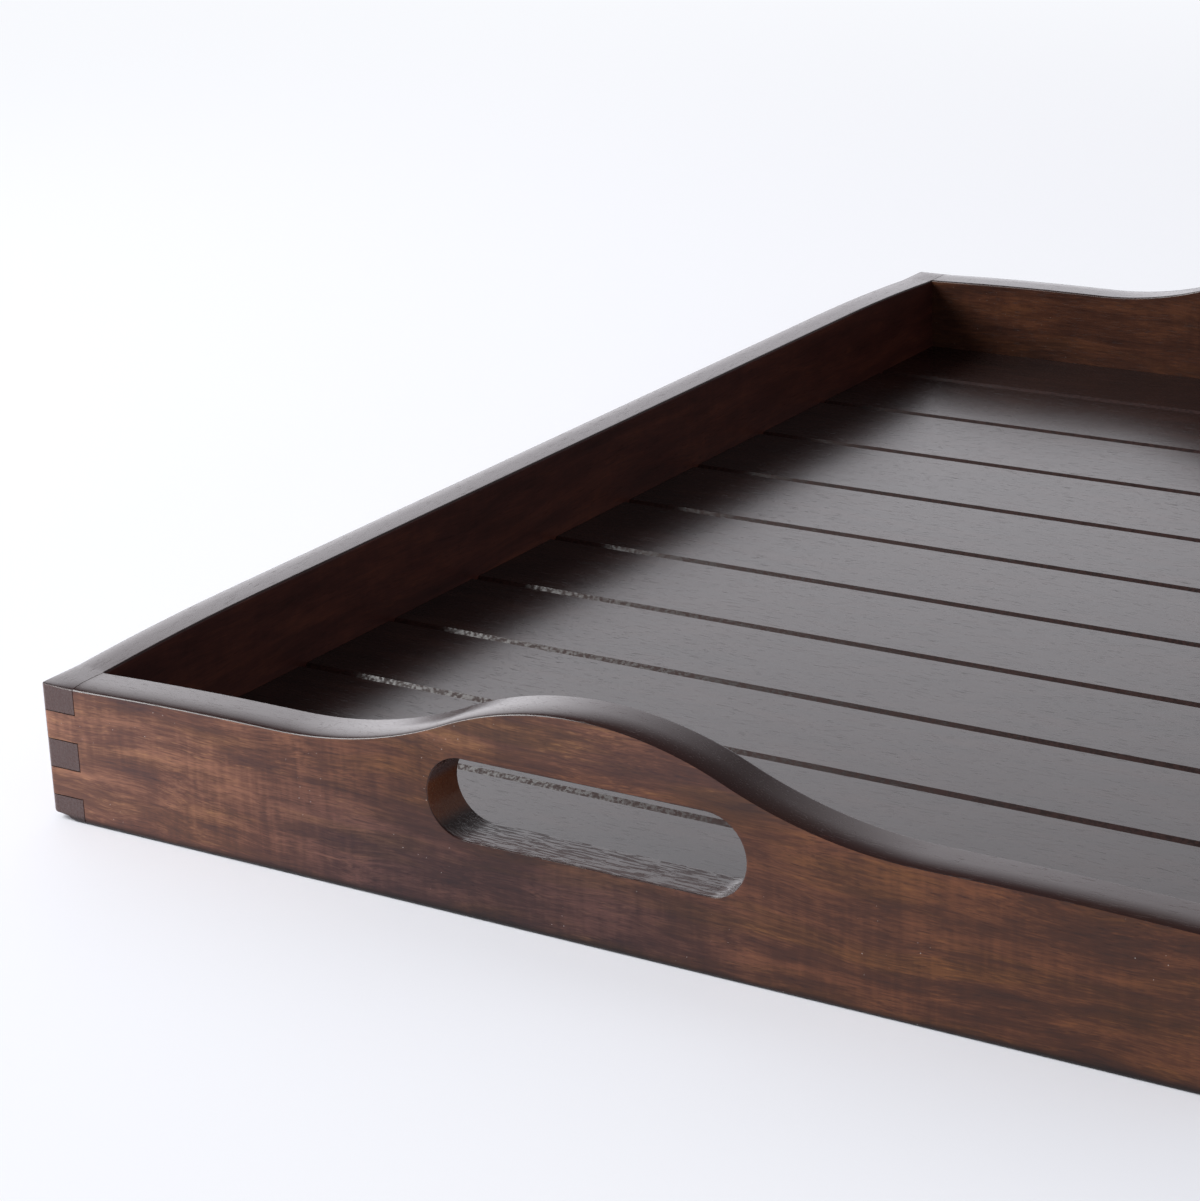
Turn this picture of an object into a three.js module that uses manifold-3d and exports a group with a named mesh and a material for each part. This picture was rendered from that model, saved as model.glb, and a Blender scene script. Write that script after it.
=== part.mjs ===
// Wooden serving tray with finger-jointed corners, ogee handles and a slatted floor.
// Lengths are millimetres. +X runs across the tray, +Y along it and +Z up.
// The origin is the middle of the footprint, on the surface that the tray stands on.

import * as THREE from 'three';
import { mergeVertices } from 'three/addons/utils/BufferGeometryUtils.js';
import Module from 'manifold-3d';

const wasm = await Module();
wasm.setup();

// Tray
const trayLength = 610;
const trayWidth = 430;
const endThickness = 16;
const sideThickness = 14.5;
const cornerHeight = 48.7;
const cornerRadius = 2.4;
const crownHeight = 1.2;
const innerEdgeRadius = 0.9;
const footRadius = 1.2;
const toeHeight = 4.2;

// Every rim is crowned: it falls away to the outer face over this share of the thickness,
// and the crown goes round the upright corners over this share of their radius
const crownShare = 0.5;
const cornerCrownShare = 0.9;

// Profile of the worn toe at a lower corner, from the joints out to the upright edge
const toeReachShares = [0, 0.2, 0.32, 0.5, 0.75, 0.92, 1];
const toeHeightShares = [0, 0.2, 0.44, 0.5, 0.54, 0.72, 1];

// Side rails: the rim climbs from the level corner over a short stretch
const sideRise = 2.3;
const sideEaseLength = 80;

// End boards: rim, ogee hump and hand slot. The rim is level over a short stretch
// beside the hump, and eases down from there to the corner.
const endRise = 1.4;
const endLevelLength = 16;
const crestHeight = 73.9;
const humpWidth = 229;
const crestRadius = 125.5;
const slotLength = 113.9;
const slotHeight = 26.8;
const slotCentreHeight = 39.2;
const slotEdgeRadius = 0.5;

// Finger joints: the rails hold the first, third and fifth finger
const fingerCount = 5;
const fingerHeight = 10;
const jointGap = 0.3;

// Floor slats: tongue-and-groove boards housed in the rails and end boards
const slatCount = 11;
const slatThickness = 8;
const floorHeight = 17.25;
const slatGap = 0.3;
const chamferSize = 2;
const tongueThickness = 3;
const tongueLength = 4;
const sideHousing = 4;
const endHousing = 3.85;
const fit = 0.2;

// Every cut runs past the wood by the overrun, and corners lie on a fine grid,
// so that faces made in different ways still meet exactly
const overrun = 5;
const grid = 0.001;

// Smoothness of the round forms
const crownSteps = 6;
const edgeSteps = 3;
const cornerSteps = 5;
const toeSides = 48;
const easeSteps = 6;
const crestSteps = 30;
const valleySteps = 20;
const slotSteps = 18;

// Worked out from the driving sizes
const halfLength = trayLength / 2;
const halfWidth = trayWidth / 2;
const innerHalfLength = halfLength - endThickness;
const innerHalfWidth = halfWidth - sideThickness;
const sideRimHeight = cornerHeight + sideRise;
const endRimHeight = cornerHeight + endRise;
const endEaseLength = innerHalfWidth - humpWidth / 2 - endLevelLength;
const tongueBottom = floorHeight - (slatThickness + tongueThickness) / 2;
const tongueTop = tongueBottom + tongueThickness;
const slatBottom = floorHeight - slatThickness;

const endWood = { color: 0x6a3f2a, roughness: 0.42, metalness: 0 };
const sideWood = { color: 0x5e3726, roughness: 0.42, metalness: 0 };
const slatWood = { color: 0x4f3024, roughness: 0.38, metalness: 0 };

// Axes for a profile that is drawn in the plane it is seen in and then extruded
const acrossTray = new THREE.Matrix4().makeBasis(
  new THREE.Vector3(0, 1, 0),
  new THREE.Vector3(0, 0, 1),
  new THREE.Vector3(1, 0, 0),
);
const alongTray = new THREE.Matrix4().makeBasis(
  new THREE.Vector3(1, 0, 0),
  new THREE.Vector3(0, 0, 1),
  new THREE.Vector3(0, -1, 0),
);

function solidFrom(geometry) {
  const bare = geometry.clone();
  bare.deleteAttribute('normal');
  bare.deleteAttribute('uv');
  const corners = bare.attributes.position.array;
  for (let index = 0; index < corners.length; index += 1) {
    corners[index] = Math.round(corners[index] / grid) * grid;
  }
  const merged = mergeVertices(bare);
  return new wasm.Manifold(new wasm.Mesh({
    numProp: 3,
    vertProperties: new Float32Array(merged.attributes.position.array),
    triVerts: new Uint32Array(merged.index.array),
  }));
}

function geometryFrom(solid) {
  const mesh = solid.getMesh();
  const geometry = new THREE.BufferGeometry();
  geometry.setAttribute('position', new THREE.BufferAttribute(mesh.vertProperties, 3));
  geometry.setIndex(new THREE.BufferAttribute(mesh.triVerts, 1));
  geometry.computeVertexNormals();
  return geometry;
}

// A block between two corners
function block(low, high) {
  const size = high.clone().sub(low);
  const middle = high.clone().add(low).multiplyScalar(0.5);
  const geometry = new THREE.BoxGeometry(size.x, size.y, size.z);
  geometry.translate(middle.x, middle.y, middle.z);
  return solidFrom(geometry);
}

// Roundings of an extrusion's edges, as a run along it and a drop into its outline.
// A negative drop flares both ends instead, as a hole does whose own edges are rounded.
const unrounded = { run: 0, drop: 0, steps: 0 };

function rounded(radius) {
  return { run: radius, drop: radius, steps: edgeSteps };
}

function flared(radius) {
  return { run: radius, drop: -radius, steps: edgeSteps };
}

function crowned(thickness) {
  return { run: crownShare * thickness, drop: crownHeight, steps: crownSteps };
}

function extrudeOptions(length, rounding) {
  return {
    depth: length - 2 * rounding.run,
    bevelEnabled: rounding.steps > 0,
    bevelThickness: rounding.run,
    bevelSize: rounding.drop,
    bevelOffset: -rounding.drop,
    bevelSegments: rounding.steps,
    curveSegments: easeSteps,
  };
}

// A profile in the YZ plane, extruded along X from one place to another
function extrudeAcross(shape, fromX, toX, rounding) {
  const geometry = new THREE.ExtrudeGeometry(shape, extrudeOptions(toX - fromX, rounding));
  geometry.translate(0, 0, fromX + rounding.run);
  geometry.applyMatrix4(acrossTray);
  return solidFrom(geometry);
}

// A profile in the XZ plane, extruded along Y from one place to another
function extrudeAlong(shape, fromY, toY, rounding) {
  const geometry = new THREE.ExtrudeGeometry(shape, extrudeOptions(toY - fromY, rounding));
  geometry.translate(0, 0, rounding.run - toY);
  geometry.applyMatrix4(alongTray);
  return solidFrom(geometry);
}

// The same two extrusions from the tray's outer face past the inner one, with the crown
// that a rim has towards the outer face
function crownAcross(shape) {
  const crown = crowned(sideThickness);
  return extrudeAcross(shape, -halfWidth, -innerHalfWidth + crown.run + overrun, crown);
}

function crownAlong(shape) {
  const crown = crowned(endThickness);
  return extrudeAlong(shape, -halfLength, -innerHalfLength + crown.run + overrun, crown);
}

// Points of an arc, its two ends included
function arcPoints(centreX, centreY, radius, fromAngle, toAngle, steps) {
  const clockwise = toAngle < fromAngle;
  const arc = new THREE.EllipseCurve(
    centreX, centreY, radius, radius, fromAngle, toAngle, clockwise);
  return arc.getPoints(steps);
}

// Outline of a board: its rim is level at the corners, as far as the corner radius past the
// joint, and eases up towards the middle. It runs past the tray by the overrun at the bottom
// and at both ends.
function boardOutline(halfTray, halfInside, easeLength, rimHeight, middlePoints) {
  const easeStart = halfInside - cornerRadius;
  const easeEnd = halfInside - easeLength;
  const easeMiddle = (easeStart + easeEnd) / 2;
  const shape = new THREE.Shape();
  shape.moveTo(-halfTray - overrun, -overrun);
  shape.lineTo(halfTray + overrun, -overrun);
  shape.lineTo(halfTray + overrun, cornerHeight);
  shape.lineTo(easeStart, cornerHeight);
  shape.quadraticCurveTo(easeMiddle, rimHeight, easeEnd, rimHeight);
  for (const point of middlePoints) {
    shape.lineTo(point.x, point.y);
  }
  shape.lineTo(-easeEnd, rimHeight);
  shape.quadraticCurveTo(-easeMiddle, rimHeight, -easeStart, cornerHeight);
  shape.lineTo(-halfTray - overrun, cornerHeight);
  shape.closePath();
  return shape;
}

// The hump is two mirrored S-curves: a valley arc that runs tangent into the crest arc
function humpPoints() {
  const halfHump = humpWidth / 2;
  const rise = crestHeight - endRimHeight;
  const valleyRadius = (halfHump ** 2 + rise ** 2) / (2 * rise) - crestRadius;
  const turn = Math.asin(halfHump / (crestRadius + valleyRadius));
  const up = Math.PI / 2;
  const valleyHeight = endRimHeight + valleyRadius;
  const rightValley = arcPoints(
    halfHump, valleyHeight, valleyRadius, -up, -up - turn, valleySteps);
  const crest = arcPoints(
    0, crestHeight - crestRadius, crestRadius, up - turn, up + turn, crestSteps);
  const leftValley = arcPoints(
    -halfHump, valleyHeight, valleyRadius, -up + turn, -up, valleySteps);
  return [...rightValley, ...crest.slice(1), ...leftValley.slice(1)];
}

// A rectangle between two heights that runs past the tray by the overrun at both ends
function bandOutline(halfTray, low, high) {
  const shape = new THREE.Shape();
  shape.moveTo(-halfTray - overrun, low);
  shape.lineTo(halfTray + overrun, low);
  shape.lineTo(halfTray + overrun, high);
  shape.lineTo(-halfTray - overrun, high);
  shape.closePath();
  return shape;
}

// Hand slot with full round ends
function slotOutline() {
  const radius = slotHeight / 2;
  const centreX = slotLength / 2 - radius;
  const quarter = Math.PI / 2;
  const rightEnd = arcPoints(centreX, slotCentreHeight, radius, -quarter, quarter, slotSteps);
  const leftEnd = arcPoints(-centreX, slotCentreHeight, radius, quarter, 3 * quarter, slotSteps);
  return new THREE.Shape([...rightEnd, ...leftEnd]);
}

// The tray's footprint up to the corner height. Its upright corners and its lower edge are
// rounded, and the corners' crown runs a little way inwards.
function roundedFootprint() {
  const centreX = halfWidth - cornerRadius;
  const centreY = halfLength - cornerRadius;
  const quarter = Math.PI / 2;
  const corners = [
    [centreX, -centreY, -quarter],
    [centreX, centreY, 0],
    [-centreX, centreY, quarter],
    [-centreX, -centreY, 2 * quarter],
  ];
  const points = corners.flatMap(([x, y, angle]) =>
    arcPoints(x, y, cornerRadius, angle, angle + quarter, cornerSteps));
  const shape = new THREE.Shape(points);
  const crown = { run: crownHeight, drop: cornerCrownShare * cornerRadius, steps: edgeSteps };
  const top = new THREE.ExtrudeGeometry(shape, extrudeOptions(cornerHeight + overrun, crown));
  top.translate(0, 0, crown.run - overrun);
  const foot = new THREE.ExtrudeGeometry(
    shape, extrudeOptions(cornerHeight + overrun, rounded(footRadius)));
  foot.translate(0, 0, footRadius);
  return solidFrom(top).intersect(solidFrom(foot));
}

// The worn toe is drawn round the near left corner's inside, in units of board thickness.
// At the bottom it reaches the joints, and at the toe's height the outer corner.
function toeForm() {
  const cornerReach = Math.SQRT2;
  const profile = [new THREE.Vector2(0, 0)];
  toeReachShares.forEach((share, index) => {
    const reach = 1 + (cornerReach - 1) * share;
    profile.push(new THREE.Vector2(reach, toeHeight * toeHeightShares[index]));
  });
  profile.push(new THREE.Vector2(2 * cornerReach, cornerHeight + overrun));
  profile.push(new THREE.Vector2(0, cornerHeight + overrun));
  const geometry = new THREE.LatheGeometry(profile, toeSides);
  geometry.rotateX(Math.PI / 2);
  geometry.scale(sideThickness, endThickness, 1);
  geometry.translate(-innerHalfWidth, -innerHalfLength, 0);
  return solidFrom(geometry);
}

// The near left corner, from which its fingers are cut, so that the rounding runs on from
// board to board
function cornerForm() {
  const endRim = crownAlong(bandOutline(halfWidth, -overrun, cornerHeight));
  const sideRim = crownAcross(bandOutline(halfLength, -overrun, cornerHeight));
  return roundedFootprint().intersect(endRim).intersect(sideRim).intersect(toeForm());
}

// Height of the lower face of a finger, with the fingers centred on the corner's face
function fingerBase(index) {
  const faceHeight = cornerHeight - crownHeight;
  return faceHeight / 2 + (index - fingerCount / 2) * fingerHeight;
}

// Every second finger of the near left corner, in blocks that reach as far as given
function fingerBlocks(first, farX, farY) {
  const blocks = [];
  for (let index = first; index < fingerCount; index += 2) {
    const isLowest = index === 0;
    const isHighest = index === fingerCount - 1;
    const bottom = isLowest ? -overrun : fingerBase(index) + jointGap / 2;
    const top = isHighest ? cornerHeight + overrun : fingerBase(index + 1) - jointGap / 2;
    blocks.push(block(
      new THREE.Vector3(-halfWidth - overrun, -halfLength - overrun, bottom),
      new THREE.Vector3(farX, farY, top),
    ));
  }
  return blocks;
}

// A board with the near left corner's fingers added, and the same fingers mirrored
function addFingers(board, blocks, mirrorAxis) {
  const corner = cornerForm();
  let joined = board;
  for (const finger of blocks) {
    const cut = corner.intersect(finger);
    joined = joined.add(cut).add(cut.mirror(mirrorAxis));
  }
  return joined;
}

// Near end board, with its hand slot and a stopped groove for the first slat
function makeEndBoard() {
  const outline = boardOutline(
    halfWidth, innerHalfWidth, endEaseLength, endRimHeight, humpPoints());
  const inside = extrudeAlong(
    outline, -halfLength - overrun, -innerHalfLength, rounded(innerEdgeRadius));
  const foot = extrudeAlong(
    bandOutline(halfWidth, 0, crestHeight + overrun),
    -halfLength, -innerHalfLength, rounded(footRadius));
  const slot = extrudeAlong(
    slotOutline(), -halfLength, -innerHalfLength, flared(slotEdgeRadius));
  const body = crownAlong(outline)
    .intersect(inside)
    .intersect(foot)
    .subtract(slot)
    .intersect(block(
      new THREE.Vector3(-innerHalfWidth, -halfLength - overrun, -overrun),
      new THREE.Vector3(innerHalfWidth, -innerHalfLength + overrun, crestHeight + overrun),
    ));
  const fingers = fingerBlocks(1, -innerHalfWidth, -innerHalfLength - jointGap);
  const groove = block(
    new THREE.Vector3(-innerHalfWidth, -innerHalfLength - endHousing - fit, tongueBottom - fit),
    new THREE.Vector3(innerHalfWidth, -innerHalfLength + overrun, tongueTop + fit),
  );
  return addFingers(body, fingers, [1, 0, 0]).subtract(groove);
}

// Left side rail, with a groove for the slats that runs out into the end fingers' sockets
function makeSideRail() {
  const outline = boardOutline(
    halfLength, innerHalfLength, sideEaseLength, sideRimHeight, []);
  const inside = extrudeAcross(
    outline, -halfWidth - overrun, -innerHalfWidth, rounded(innerEdgeRadius));
  const foot = extrudeAcross(
    bandOutline(halfLength, 0, sideRimHeight + overrun),
    -halfWidth, -innerHalfWidth, rounded(footRadius));
  const body = crownAcross(outline)
    .intersect(inside)
    .intersect(foot)
    .intersect(block(
      new THREE.Vector3(-halfWidth - overrun, -innerHalfLength, -overrun),
      new THREE.Vector3(-innerHalfWidth + overrun, innerHalfLength, sideRimHeight + overrun),
    ));
  const fingers = fingerBlocks(0, -innerHalfWidth - jointGap, -innerHalfLength);
  const groove = block(
    new THREE.Vector3(-innerHalfWidth - sideHousing - fit, -innerHalfLength, tongueBottom - fit),
    new THREE.Vector3(-innerHalfWidth + overrun, innerHalfLength, tongueTop + fit),
  );
  return addFingers(body, fingers, [0, 1, 0]).subtract(groove);
}

// One edge of a slat's section, from its top to its bottom, as [distance outwards, height]
function tongueEdge(length, chamfer) {
  return [
    [-chamfer, floorHeight],
    [0, floorHeight - chamfer],
    [0, tongueTop],
    [length, tongueTop],
    [length, tongueBottom],
    [0, tongueBottom],
    [0, slatBottom],
  ];
}

function grooveEdge(depth, chamfer) {
  return [
    [-chamfer, floorHeight],
    [0, floorHeight - chamfer],
    [0, tongueTop + fit],
    [-depth, tongueTop + fit],
    [-depth, tongueBottom - fit],
    [0, tongueBottom - fit],
    [0, slatBottom],
  ];
}

// Floor slat by its place in the row, counted from the near end
function makeSlat(index) {
  const pitch = 2 * (innerHalfLength + endHousing) / slatCount;
  const isFirst = index === 0;
  const isLast = index === slatCount - 1;
  const start = -innerHalfLength - endHousing + index * pitch;
  const nearFace = isFirst ? -innerHalfLength + fit : start + slatGap / 2;
  const farFace = isLast ? innerHalfLength - fit : start + pitch - slatGap / 2;
  const nearEdge = isFirst ? tongueEdge(endHousing, 0) : grooveEdge(tongueLength, chamferSize);
  const farEdge = isLast ? tongueEdge(endHousing, 0) : tongueEdge(tongueLength, chamferSize);

  const outline = [
    ...nearEdge.map(([out, z]) => new THREE.Vector2(nearFace - out, z)),
    ...farEdge.reverse().map(([out, z]) => new THREE.Vector2(farFace + out, z)),
  ];
  const shoulder = innerHalfWidth - fit;
  const body = extrudeAcross(new THREE.Shape(outline), -shoulder, shoulder, unrounded);

  // The tongues at the slat's two ends, in the rails' grooves
  const tongueStart = isFirst ? nearFace : nearFace + tongueLength;
  const tongueEnd = isLast ? farFace : farFace + tongueLength;
  const tongues = block(
    new THREE.Vector3(-innerHalfWidth - sideHousing, tongueStart, tongueBottom),
    new THREE.Vector3(innerHalfWidth + sideHousing, tongueEnd, tongueTop),
  );
  return body.add(tongues);
}

function addPiece(group, name, solid, finish) {
  const mesh = new THREE.Mesh(geometryFrom(solid), new THREE.MeshStandardMaterial(finish));
  mesh.name = name;
  group.add(mesh);
  return mesh;
}

const group = new THREE.Group();

const endBoard = makeEndBoard();
addPiece(group, 'near_end_board', endBoard, endWood);
addPiece(group, 'far_end_board', endBoard, endWood).rotation.z = Math.PI;

const sideRail = makeSideRail();
addPiece(group, 'left_side_rail', sideRail, sideWood);
addPiece(group, 'right_side_rail', sideRail, sideWood).rotation.z = Math.PI;

for (let index = 0; index < slatCount; index += 1) {
  const number = String(index + 1).padStart(2, '0');
  addPiece(group, `floor_slat_${number}`, makeSlat(index), slatWood);
}

export default group;
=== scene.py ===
import math

import bpy
from mathutils import Matrix, Vector

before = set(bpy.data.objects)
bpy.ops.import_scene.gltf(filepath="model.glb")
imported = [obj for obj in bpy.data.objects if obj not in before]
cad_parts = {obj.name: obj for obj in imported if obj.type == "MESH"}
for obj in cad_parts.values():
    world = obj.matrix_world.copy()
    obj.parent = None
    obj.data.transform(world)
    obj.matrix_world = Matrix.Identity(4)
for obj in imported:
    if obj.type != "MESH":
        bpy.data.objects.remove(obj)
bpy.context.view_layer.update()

# Faces that meet at less than this angle are shaded as one round form
SMOOTH_BELOW = math.radians(40)
MERGE_DISTANCE = 0.000004
FLAT_FACE_WEIGHT = 90


class Shader:
    """A node tree that is filled by calls, each of which adds and wires one node."""

    def __init__(self, tree):
        self.tree = tree
        tree.nodes.clear()

    def add(self, kind, inputs=(), **settings):
        node = self.tree.nodes.new(kind)
        for name, value in settings.items():
            setattr(node, name, value)
        for key, value in dict(inputs).items():
            self.feed(node.inputs[key], value)
        return node

    def feed(self, socket, value):
        if isinstance(value, bpy.types.NodeSocket):
            self.tree.links.new(value, socket)
        else:
            socket.default_value = value

    def math(self, operation, *values):
        return self.add("ShaderNodeMath", enumerate(values), operation=operation).outputs[0]

    def times(self, first, second):
        return self.math("MULTIPLY", first, second)

    def plus(self, base, value, strength):
        """The base and the value times its strength."""
        return self.math("MULTIPLY_ADD", value, strength, base)

    def rest_of(self, share):
        return self.math("SUBTRACT", 1.0, share)

    def vector_math(self, operation, first, second=(0, 0, 0)):
        return self.add("ShaderNodeVectorMath", {0: first, 1: second}, operation=operation).outputs[0]

    def dot(self, first, second):
        node = self.add("ShaderNodeVectorMath", {0: first, 1: second}, operation="DOT_PRODUCT")
        return node.outputs["Value"]

    def length(self, vector):
        return self.add("ShaderNodeVectorMath", {0: vector}, operation="LENGTH").outputs["Value"]

    def parts(self, vector):
        return self.add("ShaderNodeSeparateXYZ", {0: vector}).outputs

    def joined(self, first, second, third=0.0):
        return self.add("ShaderNodeCombineXYZ", {0: first, 1: second, 2: third}).outputs[0]

    def blend(self, amount, low, high, kind="MIX"):
        inputs = {0: amount, 6: low, 7: high}
        return self.add("ShaderNodeMix", inputs, data_type="RGBA", blend_type=kind).outputs[2]

    def tint(self, amount, shade, tint):
        return self.blend(amount, shade, tint, "MULTIPLY")

    def mix_surfaces(self, amount, first, second):
        return self.add("ShaderNodeMixShader", {0: amount, 1: first, 2: second}).outputs[0]

    def rise(self, value, start, end, low=0.0, high=1.0):
        """From low at the start to high at the end, smoothly."""
        inputs = {0: value, 1: start, 2: end, 3: low, 4: high}
        return self.add("ShaderNodeMapRange", inputs, interpolation_type="SMOOTHSTEP").outputs[0]

    def fall(self, value, start, end):
        return self.rise(value, start, end, 1.0, 0.0)

    def noise(self, place, spans, detail=2.0, roughness=0.5, output="Fac"):
        """Noise whose features are about as long as the spans, in metres along each axis."""
        scaled = self.vector_math("DIVIDE", place, spans)
        inputs = {"Vector": scaled, "Scale": 1.0, "Detail": detail, "Roughness": roughness}
        return self.add("ShaderNodeTexNoise", inputs).outputs[output]


def grained(along, across):
    """Spans of a figure that is stretched along the grain."""
    return (along, across, across)


def even(span):
    """Spans of a figure that is alike in all directions."""
    return (span, span, span)


def colour(red, green, blue):
    return (red, green, blue, 1.0)


# Spans of the wood's figure, in metres
WARP = grained(0.09, 0.03)
FIGURE = grained(0.15, 0.0065)
PATCH = grained(0.030, 0.0080)
CLOUD = grained(0.080, 0.026)
CURL = grained(0.0028, 0.018)
STREAK = grained(0.018, 0.0007)
FIBRE = grained(0.005, 0.00035)
PORE = grained(0.007, 0.00035)
GLINT = grained(0.006, 0.0007)
WARMTH = grained(0.10, 0.012)
SCORE = grained(0.007, 0.0008)
RING = (0.012, 0.0008, 0.012)
END_PORE = even(0.0007)
BEAD = even(0.0014)
UNDULATION = even(0.03)

# How far a board's figure wanders, and how far apart two boards' figures lie, in metres
SWAY = (0.004, 0.012, 0.012)
SEED_STEP = (1.37, 0.71, 0.43)

# How far each part of the figure moves the tone, at a contrast of one
FIGURE_TONE = 0.75
PATCH_TONE = 0.85
CLOUD_TONE = 0.45
STREAK_TONE = 0.60
FIBRE_TONE = 0.42

# The tones that get a look's dark, middle and light colour
DARKEST_TONE = 0.08
MIDDLE_TONE = 0.5
LIGHTEST_TONE = 0.95

# Between which values each mask goes from none to full, and how strong two of them get
BROAD_FACE = (0.75, 0.95)
END_FACE = (0.55, 0.85)
PORE_EDGE = (0.63, 0.72)
CURL_CLOUD = (0.35, 0.65)
# GLINT masks: where the painted glints show
GLINT_EDGE = (0.50, 0.72)
GLINT_PATCH = (0.48, 0.66)
WARMTH_EDGE = (0.46, 0.62)
END_PORE_EDGE = (0.3, 0.8)
END_PORE_SHARE = 0.55
SCORE_EDGE = (0.50, 0.56)
TURNED_FACE = (0.1, 0.4)
SLOPE_START = (0.3, 0.5)
SLOPE_END = (0.85, 0.95)
BEAD_EDGE = (0.40, 0.58)
BARE_IN_BEADS, BARE_BETWEEN = 0.20, 0.92

# Relief of the lacquer: the bump's distance in metres and its strength, how much of the relief is
# left on narrow faces, and how far each part moves the height
BUMP_DISTANCE = 0.00012
BUMP_STRENGTH = 0.6
NARROW_RELIEF = 0.4
STREAK_RELIEF = 0.15
FIBRE_RELIEF = 0.10
RING_RELIEF = 1.4
SCORE_RELIEF = -0.6

# Finish: what streaks, pores and end grain add to the lacquer's roughness, and bare wood's own
STREAK_ROUGHNESS = 0.10
PORE_ROUGHNESS = 0.18
END_ROUGHNESS = 0.03
WOOD_IOR = 1.5
BARE_ROUGHNESS = 0.5
BARE_SHINE = 0.12
SCORE_BARENESS = 0.8

# Specks of dust on the broad faces: the spacing of the places that can have one, the largest radius
# and the span of a cluster in metres, and how many places have one
DUST_SPACING = 0.0045
DUST_RADIUS = 0.00016
DUST_CLUSTER = even(0.035)
DUST_CLUSTER_EDGE = 0.55
DUST_SHARE = 0.5
DUST_COLOUR = colour(0.62, 0.57, 0.54)


class Look:
    """Tones of one kind of board, and how strongly each part of its figure shows."""

    # What holds where a look doesn't say otherwise
    dust = 0.0
    golden = 0.0
    narrow_face_painted_shade = 0.0
    has_rims = True
    has_slot = False
    has_zones = False

    def __init__(self, **values):
        for name, value in values.items():
            setattr(self, name, value)


NEAR_LOOK = Look(
    dark=colour(0.036, 0.0125, 0.0095),
    middle=colour(0.080, 0.0255, 0.0130),
    light=colour(0.190, 0.067, 0.031),
    painted_glint_colour=colour(0.26, 0.100, 0.038),
    end_grain=colour(0.115, 0.078, 0.074),
    contrast=1.30,
    curl=0.4,
    painted_glint_share=0.55,
    pores=0.5,
    dust=0.8,
    golden=0.7,
    face_roughness=0.40,
    edge_roughness=0.20,
    narrow_face_painted_shade=0.75,
    relief=0.30,
    shine=0.34,
    has_slot=True,
    has_zones=True,
)

FAR_LOOK = Look(
    dark=colour(0.027, 0.0092, 0.0062),
    middle=colour(0.068, 0.0235, 0.0125),
    light=colour(0.140, 0.050, 0.023),
    painted_glint_colour=colour(0.18, 0.065, 0.025),
    end_grain=colour(0.110, 0.062, 0.052),
    contrast=1.2,
    curl=0.3,
    painted_glint_share=0.3,
    pores=0.45,
    dust=0.3,
    golden=0.3,
    face_roughness=0.40,
    edge_roughness=0.20,
    narrow_face_painted_shade=0.75,
    relief=0.30,
    shine=0.4,
    has_slot=True,
)

SIDE_LOOK = Look(
    dark=colour(0.034, 0.0098, 0.0086),
    middle=colour(0.072, 0.0205, 0.0155),
    light=colour(0.130, 0.039, 0.024),
    painted_glint_colour=colour(0.20, 0.070, 0.030),
    end_grain=colour(0.115, 0.078, 0.074),
    contrast=1.2,
    curl=0.25,
    painted_glint_share=0.25,
    pores=0.35,
    face_roughness=0.40,
    edge_roughness=0.24,
    narrow_face_painted_shade=0.9,
    relief=0.08,
    shine=0.35,
)

SLAT_LOOK = Look(
    dark=colour(0.007, 0.0032, 0.0030),
    middle=colour(0.014, 0.0056, 0.0048),
    light=colour(0.026, 0.0105, 0.0080),
    painted_glint_colour=colour(0.05, 0.022, 0.014),
    end_grain=colour(0.02, 0.012, 0.010),
    contrast=1.0,
    curl=0.2,
    painted_glint_share=0.1,
    pores=0.65,
    face_roughness=0.40,
    edge_roughness=0.21,
    relief=0.10,
    shine=0.30,
    has_rims=False,
    chamfer=colour(0.030, 0.0105, 0.0085),
)

# Tints of rims, feet and warm patches: painted shade on the rims and a painted contact shadow along
# the feet; the heights in metres between which the feet's painted shadow fades out, and how much of
# the warm patches is left at the near board's left end
RIM_PAINTED_SHADE_TINT = colour(0.55, 0.40, 0.42)
FOOT_SHADOW_TINT = colour(0.25, 0.22, 0.22)
FOOT_SHADOW_FADE = (0.0010, 0.0030)
GOLDEN_TINT = colour(1.10, 1.20, 0.80)
GOLDEN_AT_LEFT = 0.2

# The near board's left end is lighter, partly as lighter wood and partly as painted light and sheen
# from the lamp at its left; its handle is lighter than the rest, its right end is browner, and it is
# dark below the slot. Each tint fades between two places along the board or two heights, in metres.
LEFT_WOOD_AND_SHEEN_TINT = colour(1.95, 2.5, 3.3)
LEFT_FADE = (-0.215, -0.04)
RIGHT_TINT = colour(0.84, 0.78, 0.62)
RIGHT_FADE = (0.05, 0.17)
HANDLE_TINT = colour(1.30, 1.55, 1.95)
HANDLE_FADE = (0.050, 0.062)
LOWER_TINT = colour(0.62, 0.72, 1.25)
LOWER_MIDDLE = -0.03
LOWER_REACH = (0.035, 0.115)
LOWER_FADE = (0.016, 0.044)

# Heights in metres over which the marks on the slot's walls begin, below its floor, and fade out,
# below its top
SLOT_FLOOR_FADE = (0.0235, 0.0245)
SLOT_TOP_FADE = (0.0410, 0.0450)
SLOT_END_TINT = colour(1.5, 0.85, 0.45)


def in_grain_order(shader, vector, along):
    """The vector's parts as along the grain, across the board and up."""
    if along == "X":
        return vector
    parts = shader.parts(vector)
    return shader.joined(parts[1], parts[0], parts[2])


def swayed(shader, place):
    """The place, moved so that the whole figure wanders as a sawn board's does."""
    sway = shader.noise(place, WARP, output="Color")
    sway = shader.vector_math("SUBTRACT", sway, (0.5, 0.5, 0.5))
    sway = shader.vector_math("MULTIPLY", sway, SWAY)
    return shader.vector_math("ADD", place, sway)


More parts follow.
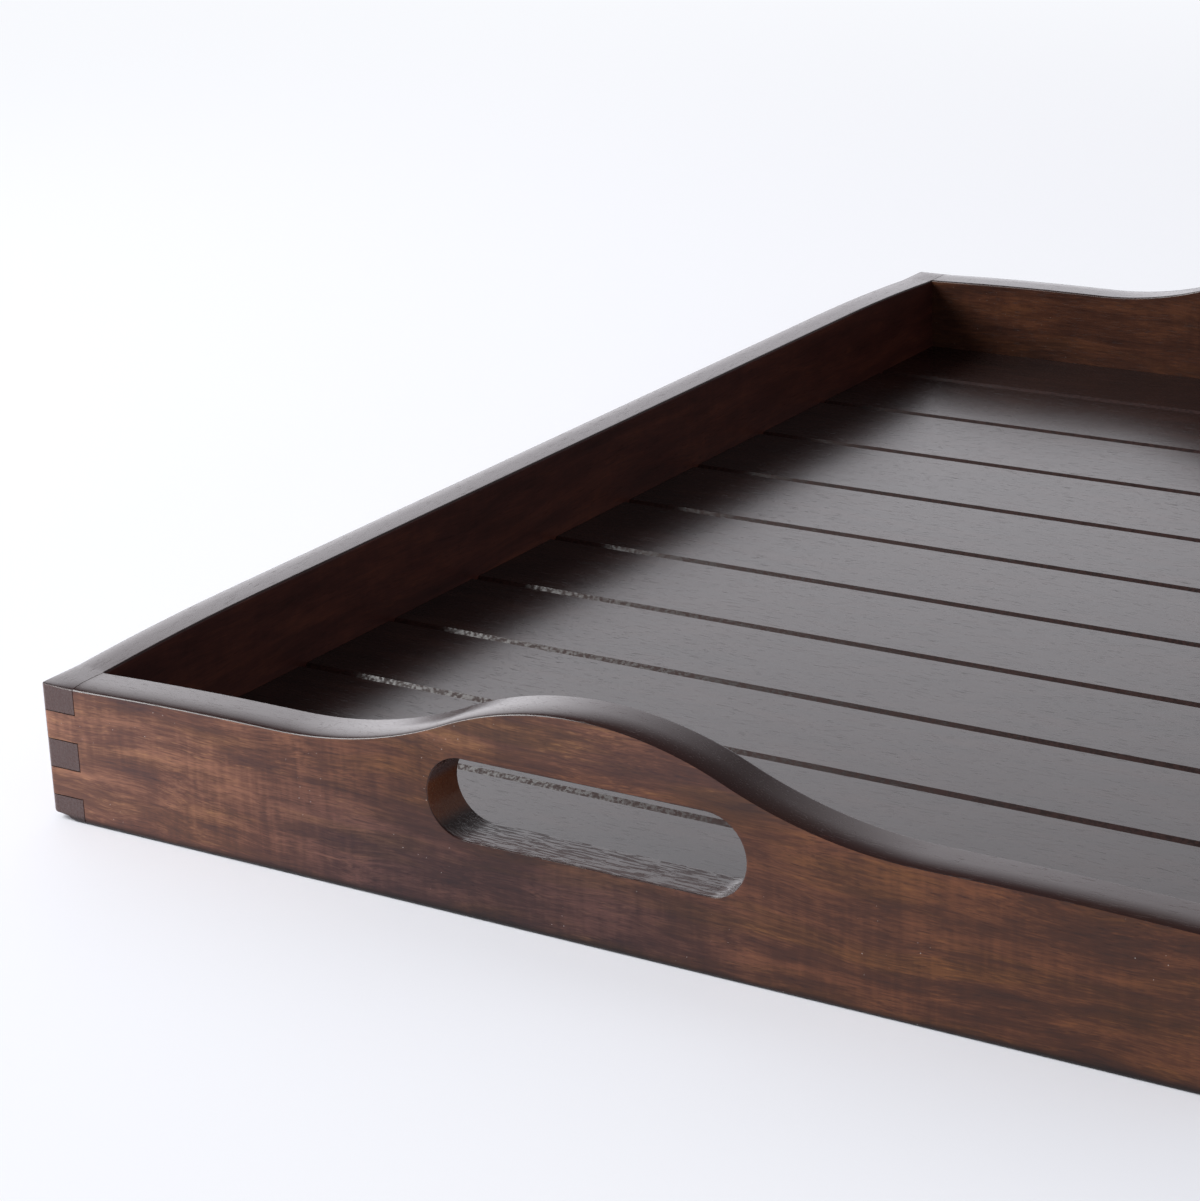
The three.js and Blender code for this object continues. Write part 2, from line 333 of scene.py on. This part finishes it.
def three_tones(shader, tone, look):
    ramp = shader.add("ShaderNodeValToRGB", {0: tone})
    stops = ramp.color_ramp.elements
    stops[0].position, stops[0].color = DARKEST_TONE, look.dark
    stops[1].position, stops[1].color = LIGHTEST_TONE, look.light
    stops.new(MIDDLE_TONE).color = look.middle
    return ramp.outputs[0]


def bare_wood(shader, shade):
    """Matt wood without lacquer."""
    return shader.add("ShaderNodeBsdfPrincipled", {
        "Base Color": shade,
        "Roughness": BARE_ROUGHNESS,
        "IOR": WOOD_IOR,
        "Specular IOR Level": BARE_SHINE,
    }).outputs[0]


class Wood:
    """The wood of one board: masks and noises that its parts share, and then each part."""

    def __init__(self, shader, look, along, seed):
        self.shader = shader
        self.look = look
        source = shader.add("ShaderNodeTexCoord").outputs
        own_place = in_grain_order(shader, source["Object"], along)
        own_parts = shader.parts(own_place)
        facing = shader.parts(in_grain_order(shader, source["Normal"], along))
        self.from_middle = own_parts[0]
        self.height = own_parts[2]
        self.place = shader.vector_math("ADD", own_place, tuple(step * seed for step in SEED_STEP))
        self.grain = swayed(shader, self.place)

        self.endways = shader.math("ABSOLUTE", facing[0])
        self.sideways = shader.math("ABSOLUTE", facing[1])
        self.end = shader.rise(self.endways, *END_FACE)
        self.broad = shader.rise(self.sideways, *BROAD_FACE)
        self.narrow = shader.rest_of(self.broad)

        self.patch = shader.noise(self.grain, PATCH, detail=4.0, roughness=0.6)
        self.cloud = shader.noise(self.place, CLOUD)
        self.streak = shader.noise(self.grain, STREAK, detail=3.0, roughness=0.6)
        self.fibre = shader.noise(self.grain, FIBRE, roughness=0.6)
        pore = shader.noise(self.grain, PORE, detail=1.0, roughness=0.4)
        self.pore = shader.rise(pore, *PORE_EDGE)
        if look.has_slot:
            self.find_slot_walls()

    def find_slot_walls(self):
        """Masks of the slot's walls, of their round ends and of the tool's scores on them."""
        shader = self.shader
        above = shader.rise(self.height, *SLOT_FLOOR_FADE)
        below = shader.fall(self.height, *SLOT_TOP_FADE)
        self.in_slot = shader.times(shader.times(above, below), self.narrow)
        self.turned = shader.rise(self.endways, *TURNED_FACE)
        score = shader.rise(shader.noise(self.place, SCORE), *SCORE_EDGE)
        self.score = shader.times(score, self.in_slot)

    def centred(self, noise):
        return self.shader.math("SUBTRACT", noise, 0.5)

    def tone(self):
        """How light the wood is at each place, about a half on average and less on narrow faces, where
        shade is painted.
        """
        shader, contrast = self.shader, self.look.contrast
        figure = shader.noise(self.grain, FIGURE, detail=4.0, roughness=0.55)
        tone = MIDDLE_TONE
        tone = shader.plus(tone, self.centred(figure), FIGURE_TONE * contrast)
        tone = shader.plus(tone, self.centred(self.patch), PATCH_TONE * contrast)
        tone = shader.plus(tone, self.centred(self.cloud), CLOUD_TONE * contrast)
        tone = shader.plus(tone, self.centred(self.streak), STREAK_TONE * contrast)
        tone = shader.plus(tone, self.centred(self.fibre), FIBRE_TONE * contrast)
        curl = self.centred(shader.noise(self.place, CURL))
        curl = shader.times(curl, shader.rise(self.cloud, *CURL_CLOUD))
        tone = shader.plus(tone, curl, self.look.curl * contrast)
        # Painted shade: narrow faces such as the rims are darker than the broad faces
        return shader.plus(tone, self.narrow, -self.look.narrow_face_painted_shade)

    def with_painted_glints(self, shade):
        """The shade with painted glints, bright flecks of colour on the broad faces, and dark pores.
        """
        shader, look = self.shader, self.look
        glint = shader.rise(shader.noise(self.grain, GLINT, roughness=0.6), *GLINT_EDGE)
        glint = shader.times(glint, shader.rise(self.patch, *GLINT_PATCH))
        glint = shader.times(glint, self.broad)
        shade = shader.blend(shader.times(glint, look.painted_glint_share), shade, look.painted_glint_colour)
        return shader.blend(shader.times(self.pore, look.pores), shade, look.dark)

    def warmed(self, shade):
        shader, look = self.shader, self.look
        strength = look.golden
        if look.has_zones:
            weakest = GOLDEN_AT_LEFT * look.golden
            strength = shader.rise(self.from_middle, *LEFT_FADE, weakest, look.golden)
        warmth = shader.noise(self.grain, WARMTH, detail=3.0, roughness=0.6)
        warmth = shader.times(shader.rise(warmth, *WARMTH_EDGE), strength)
        return shader.tint(warmth, shade, GOLDEN_TINT)

    def zoned(self, shade):
        """The shade with the near board's lighter and darker parts, and painted light and sheen at its
        left end.
        """
        shader = self.shader
        aside = shader.math("ABSOLUTE", shader.math("SUBTRACT", self.from_middle, LOWER_MIDDLE))
        lower = shader.times(shader.fall(aside, *LOWER_REACH), shader.fall(self.height, *LOWER_FADE))
        # Left end: partly lighter wood, partly painted light and sheen
        shade = shader.tint(shader.fall(self.from_middle, *LEFT_FADE), shade, LEFT_WOOD_AND_SHEEN_TINT)
        shade = shader.tint(shader.rise(self.height, *HANDLE_FADE), shade, HANDLE_TINT)
        shade = shader.tint(shader.rise(self.from_middle, *RIGHT_FADE), shade, RIGHT_TINT)
        return shader.tint(lower, shade, LOWER_TINT)

    def end_grained(self, shade):
        """The shade with end grain where the face looks along the grain."""
        shader, look = self.shader, self.look
        dots = shader.noise(self.place, END_PORE, roughness=0.6)
        dots = shader.rise(dots, *END_PORE_EDGE, 0.0, END_PORE_SHARE)
        return shader.blend(self.end, shade, shader.blend(dots, look.end_grain, look.middle))

    def dust(self):
        """Small round specks in loose groups."""
        shader = self.shader
        parts = shader.parts(self.place)
        inputs = {"Vector": shader.joined(parts[0], parts[2]), "Scale": 1.0 / DUST_SPACING}
        cells = shader.add("ShaderNodeTexVoronoi", inputs, voronoi_dimensions="2D").outputs
        chance = shader.add("ShaderNodeSeparateColor", {0: cells["Color"]}).outputs
        kept = shader.math("LESS_THAN", chance[0], DUST_SHARE)
        radius = shader.times(chance[1], DUST_RADIUS / DUST_SPACING)
        speck = shader.times(kept, shader.math("LESS_THAN", cells["Distance"], radius))
        cluster = shader.noise(self.place, DUST_CLUSTER, detail=1.0)
        return shader.times(speck, shader.math("GREATER_THAN", cluster, DUST_CLUSTER_EDGE))

    def shade(self):
        shader, look = self.shader, self.look
        shade = self.with_painted_glints(three_tones(shader, self.tone(), look))
        if look.golden:
            shade = self.warmed(shade)
        if look.has_zones:
            shade = shader.blend(self.broad, shade, self.zoned(shade))
        # Painted shade: narrow faces such as the rims get darker and greyer
        if look.has_rims:
            shade = shader.tint(self.narrow, shade, RIM_PAINTED_SHADE_TINT)
        shade = self.end_grained(shade)
        # Painted contact shadow: darker along the bottom edge, where the board stands on the floor
        if look.has_rims:
            shade = shader.tint(shader.fall(self.height, *FOOT_SHADOW_FADE), shade, FOOT_SHADOW_TINT)
        if look.has_slot:
            shade = shader.tint(shader.times(self.in_slot, self.end), shade, SLOT_END_TINT)
        if look.dust:
            shade = shader.blend(shader.times(self.dust(), shader.times(self.broad, look.dust)),
                                 shade, DUST_COLOUR)
        return shade

    def bump(self):
        """Lacquer that sinks a little over the pores, with rings on the end grain."""
        shader, look = self.shader, self.look
        depth = shader.rise(self.broad, 0.0, 1.0, NARROW_RELIEF * look.relief, look.relief)
        height = shader.noise(self.place, UNDULATION)
        ringed = self.end
        if look.has_slot:
            height = shader.plus(height, self.score, SCORE_RELIEF)
            ringed = shader.math("MAXIMUM", self.end, shader.times(self.in_slot, self.turned))
        height = shader.math("SUBTRACT", height, shader.times(self.pore, depth))
        height = shader.plus(height, self.streak, shader.times(depth, STREAK_RELIEF))
        height = shader.plus(height, self.fibre, shader.times(depth, FIBRE_RELIEF))
        rings = shader.noise(self.place, RING, roughness=0.6)
        height = shader.plus(height, rings, shader.times(ringed, RING_RELIEF))
        inputs = {"Strength": BUMP_STRENGTH, "Distance": BUMP_DISTANCE, "Height": height}
        return shader.add("ShaderNodeBump", inputs).outputs[0]

    def roughness(self):
        shader, look = self.shader, self.look
        rough = shader.rise(self.broad, 0.0, 1.0, look.edge_roughness, look.face_roughness)
        rough = shader.plus(rough, self.centred(self.streak), STREAK_ROUGHNESS)
        rough = shader.plus(rough, self.pore, PORE_ROUGHNESS)
        return shader.plus(rough, self.end, END_ROUGHNESS)

    def lacquered(self):
        return self.shader.add("ShaderNodeBsdfPrincipled", {
            "Base Color": self.shade(),
            "Roughness": self.roughness(),
            "IOR": WOOD_IOR,
            "Specular IOR Level": self.look.shine,
            "Normal": self.bump(),
        }).outputs[0]

    def bare_slopes(self):
        """How bare the slopes of a slat's joints are, with lacquer left in beads."""
        shader = self.shader
        beads = shader.noise(self.place, BEAD, roughness=0.6)
        slope = shader.times(shader.rise(self.sideways, *SLOPE_START),
                             shader.fall(self.sideways, *SLOPE_END))
        return shader.times(slope, shader.rise(beads, *BEAD_EDGE, BARE_IN_BEADS, BARE_BETWEEN))

    def finish(self):
        """Lacquered wood, bare in the scores of the slot or on the slopes of the joints."""
        shader, look = self.shader, self.look
        finish = self.lacquered()
        if not look.has_rims:
            finish = shader.mix_surfaces(self.bare_slopes(), finish, bare_wood(shader, look.chamfer))
        if look.has_slot:
            score = shader.times(self.score, shader.rest_of(self.turned))
            bareness = shader.times(score, SCORE_BARENESS)
            finish = shader.mix_surfaces(bareness, finish, bare_wood(shader, look.dark))
        return finish


def new_material(name):
    material = bpy.data.materials.new(name)
    material.use_nodes = True
    return material, Shader(material.node_tree)


def wood(name, look, along, seed):
    material, shader = new_material(name)
    shader.add("ShaderNodeOutputMaterial", {0: Wood(shader, look, along, seed).finish()})
    return material


def round_shading():
    """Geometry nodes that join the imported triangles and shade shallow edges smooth."""
    tree = bpy.data.node_groups.new("round_shading", "GeometryNodeTree")
    tree.interface.new_socket("Geometry", in_out="INPUT", socket_type="NodeSocketGeometry")
    tree.interface.new_socket("Geometry", in_out="OUTPUT", socket_type="NodeSocketGeometry")
    nodes, link = tree.nodes, tree.links.new
    start, end = nodes.new("NodeGroupInput"), nodes.new("NodeGroupOutput")
    merge = nodes.new("GeometryNodeMergeByDistance")
    merge.inputs["Distance"].default_value = MERGE_DISTANCE
    angle = nodes.new("GeometryNodeInputMeshEdgeAngle")
    sharp = nodes.new("FunctionNodeCompare")
    sharp.operation = "GREATER_THAN"
    sharp.inputs[1].default_value = SMOOTH_BELOW
    shade = nodes.new("GeometryNodeSetMeshNormal")
    shade.mode = "SHARPNESS"
    shade.inputs["Remove Custom"].default_value = True
    shade.inputs["Face Sharpness"].default_value = False
    link(start.outputs[0], merge.inputs["Geometry"])
    link(merge.outputs[0], shade.inputs["Mesh"])
    link(angle.outputs["Unsigned Angle"], sharp.inputs[0])
    link(sharp.outputs[0], shade.inputs["Edge Sharpness"])
    link(shade.outputs[0], end.inputs[0])
    return tree


def dress(piece, material, shading):
    piece.data.materials.clear()
    piece.data.materials.append(material)
    piece.modifiers.new("round_shading", "NODES").node_group = shading
    weighted = piece.modifiers.new("flat_faces_stay_flat", "WEIGHTED_NORMAL")
    weighted.mode = "FACE_AREA"
    weighted.weight = FLAT_FACE_WEIGHT
    weighted.keep_sharp = True


def look_of(name):
    """The look of a node and the axis that its grain runs along."""
    if name.startswith("floor_slat"):
        return SLAT_LOOK, "X"
    if name == "near_end_board":
        return NEAR_LOOK, "X"
    if name == "far_end_board":
        return FAR_LOOK, "X"
    return SIDE_LOOK, "Y"


def dress_tray():
    shading = round_shading()
    for seed, name in enumerate(sorted(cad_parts), start=1):
        look, along = look_of(name)
        dress(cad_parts[name], wood(name + "_wood", look, along, seed), shading)


# Camera: where it stands, its own right and up, and its focal length in pixels of the long side
CAMERA_PLACE = Vector((0.52880, -1.06479, 0.43394))
CAMERA_RIGHT = Vector((0.8336485, 0.55059527, -0.04330161))
CAMERA_UP = Vector((-0.14808859, 0.29837257, 0.94289107))
FOCAL_PIXELS = 3381.05
IMAGE_LONG_SIDE = 1201
SENSOR = 36.0
NEAREST_SEEN, FARTHEST_SEEN = 0.01, 100.0


def place_camera():
    data = bpy.data.cameras.new("camera")
    data.sensor_width = SENSOR
    data.lens = FOCAL_PIXELS / IMAGE_LONG_SIDE * SENSOR
    data.clip_start, data.clip_end = NEAREST_SEEN, FARTHEST_SEEN
    camera = bpy.data.objects.new("camera", data)
    bpy.context.scene.collection.objects.link(camera)
    back = CAMERA_RIGHT.cross(CAMERA_UP).normalized()
    turn = Matrix((CAMERA_RIGHT.normalized(), CAMERA_UP.normalized(), back)).transposed()
    camera.matrix_world = Matrix.Translation(CAMERA_PLACE) @ turn.to_4x4()
    bpy.context.scene.camera = camera


# Floor and backdrop
FLOOR_HALF = 9.0
FLOOR_COLOUR = colour(0.892, 0.905, 0.950)
FLOOR_MOTTLE = even(0.6)
FLOOR_ROUGHNESS = 0.9
FLOOR_SHINE = 0.1
BACKDROP_COLOUR = colour(0.895, 0.905, 0.950)
PLAIN_COLOUR = colour(0.945, 0.957, 0.992)

# How much of a plain white the camera sees in the floor, by distance in metres from a box that
# is about the tray's
TRAY_HALF = (0.215, 0.305, 0)
NEAR_REACH, NEAR_SHARE = 0.20, 0.45
FAR_REACH = 1.3


def paper(shader, place):
    """Matt paper with faint, wide mottling."""
    mottle = shader.noise(place, FLOOR_MOTTLE, detail=3.0)
    return shader.add("ShaderNodeBsdfPrincipled", {
        "Base Color": shader.blend(mottle, FLOOR_COLOUR, BACKDROP_COLOUR),
        "Roughness": FLOOR_ROUGHNESS,
        "Specular IOR Level": FLOOR_SHINE,
    }).outputs[0]


def plain_share(shader, place):
    """None beside the tray, and all far away from it."""
    outside = shader.vector_math("SUBTRACT", shader.vector_math("ABSOLUTE", place), TRAY_HALF)
    distance = shader.length(shader.vector_math("MAXIMUM", outside))
    near = shader.rise(distance, 0.0, NEAR_REACH, 0.0, NEAR_SHARE)
    far = shader.rise(distance, NEAR_REACH, FAR_REACH, 0.0, 1.0 - NEAR_SHARE)
    return shader.math("ADD", near, far)


def floor_material():
    material, shader = new_material("studio_floor")
    place = shader.add("ShaderNodeTexCoord").outputs["Object"]
    plain = shader.add("ShaderNodeEmission", {"Color": PLAIN_COLOUR, "Strength": 1.0}).outputs[0]
    sight = shader.add("ShaderNodeLightPath").outputs["Is Camera Ray"]
    share = shader.times(plain_share(shader, place), sight)
    surface = shader.mix_surfaces(share, paper(shader, place), plain)
    shader.add("ShaderNodeOutputMaterial", {0: surface})
    return material


def lay_floor():
    half = FLOOR_HALF
    corners = [(-half, -half, 0), (half, -half, 0), (half, half, 0), (-half, half, 0)]
    mesh = bpy.data.meshes.new("studio_floor")
    mesh.from_pydata(corners, [], [(0, 1, 2, 3)])
    mesh.materials.append(floor_material())
    floor = bpy.data.objects.new("studio_floor", mesh)
    bpy.context.scene.collection.objects.link(floor)


# Room: a pale sweep to the left of +Y with a brighter glow in it, both by heading and height
ROOM_COLOUR = colour(0.300, 0.300, 0.312)
SWEEP_COLOUR = colour(1.70, 1.68, 1.77)
SWEEP_AROUND = math.radians(65)
SWEEP_HALF_ANGLES = (math.radians(68), math.radians(38))
SWEEP_HEIGHTS = (math.radians(21), math.radians(47))
GLOW_COLOUR = colour(2.25, 2.23, 2.33)
GLOW_AROUND = math.radians(50)
GLOW_HALF_ANGLES = (math.radians(17), math.radians(5))

# Softbox: how far left of +Y and above the floor it hangs, its distance and side in metres
SOFTBOX_AROUND = math.radians(115)
SOFTBOX_ABOVE = math.radians(35)
SOFTBOX_DISTANCE = 3.5
SOFTBOX_SIDE = 1.75
SOFTBOX_BRIGHTNESS = 13.0


def towards(shader, level, around, half_angles):
    """One within the smaller half angle of a heading left of +Y, falling to none at the larger."""
    along = shader.dot(level, (-math.sin(around), math.cos(around), 0))
    outer, inner = half_angles
    return shader.rise(along, math.cos(outer), math.cos(inner))


def light_room():
    world = bpy.data.worlds.new("studio")
    world.use_nodes = True
    bpy.context.scene.world = world
    shader = Shader(world.node_tree)
    direction = shader.add("ShaderNodeTexCoord").outputs["Generated"]
    level = shader.vector_math("NORMALIZE", shader.vector_math("MULTIPLY", direction, (1, 1, 0)))
    lowest, highest = SWEEP_HEIGHTS
    low = shader.fall(shader.parts(direction)[2], math.sin(lowest), math.sin(highest))
    sweep = shader.times(towards(shader, level, SWEEP_AROUND, SWEEP_HALF_ANGLES), low)
    glow = towards(shader, level, GLOW_AROUND, GLOW_HALF_ANGLES)
    walls = shader.blend(sweep, ROOM_COLOUR, shader.blend(glow, SWEEP_COLOUR, GLOW_COLOUR))
    sight = shader.add("ShaderNodeLightPath").outputs["Is Camera Ray"]
    seen = shader.blend(sight, walls, BACKDROP_COLOUR)
    back = shader.add("ShaderNodeBackground", {"Color": seen, "Strength": 1.0})
    shader.add("ShaderNodeOutputWorld", {0: back.outputs[0]})


def hang_softbox():
    """A square lamp that faces the tray."""
    level = math.cos(SOFTBOX_ABOVE)
    heading = Vector((
        -math.sin(SOFTBOX_AROUND) * level,
        math.cos(SOFTBOX_AROUND) * level,
        math.sin(SOFTBOX_ABOVE),
    ))
    data = bpy.data.lights.new("left_softbox", "AREA")
    data.shape = "SQUARE"
    data.size = SOFTBOX_SIDE
    data.energy = SOFTBOX_BRIGHTNESS * math.pi * SOFTBOX_SIDE ** 2
    lamp = bpy.data.objects.new("left_softbox", data)
    bpy.context.scene.collection.objects.link(lamp)
    lamp.location = SOFTBOX_DISTANCE * heading
    lamp.rotation_mode = "QUATERNION"
    lamp.rotation_quaternion = (-heading).to_track_quat("-Z", "Y")


dress_tray()
lay_floor()
place_camera()
light_room()
hang_softbox()
bpy.context.scene.view_settings.view_transform = "Standard"
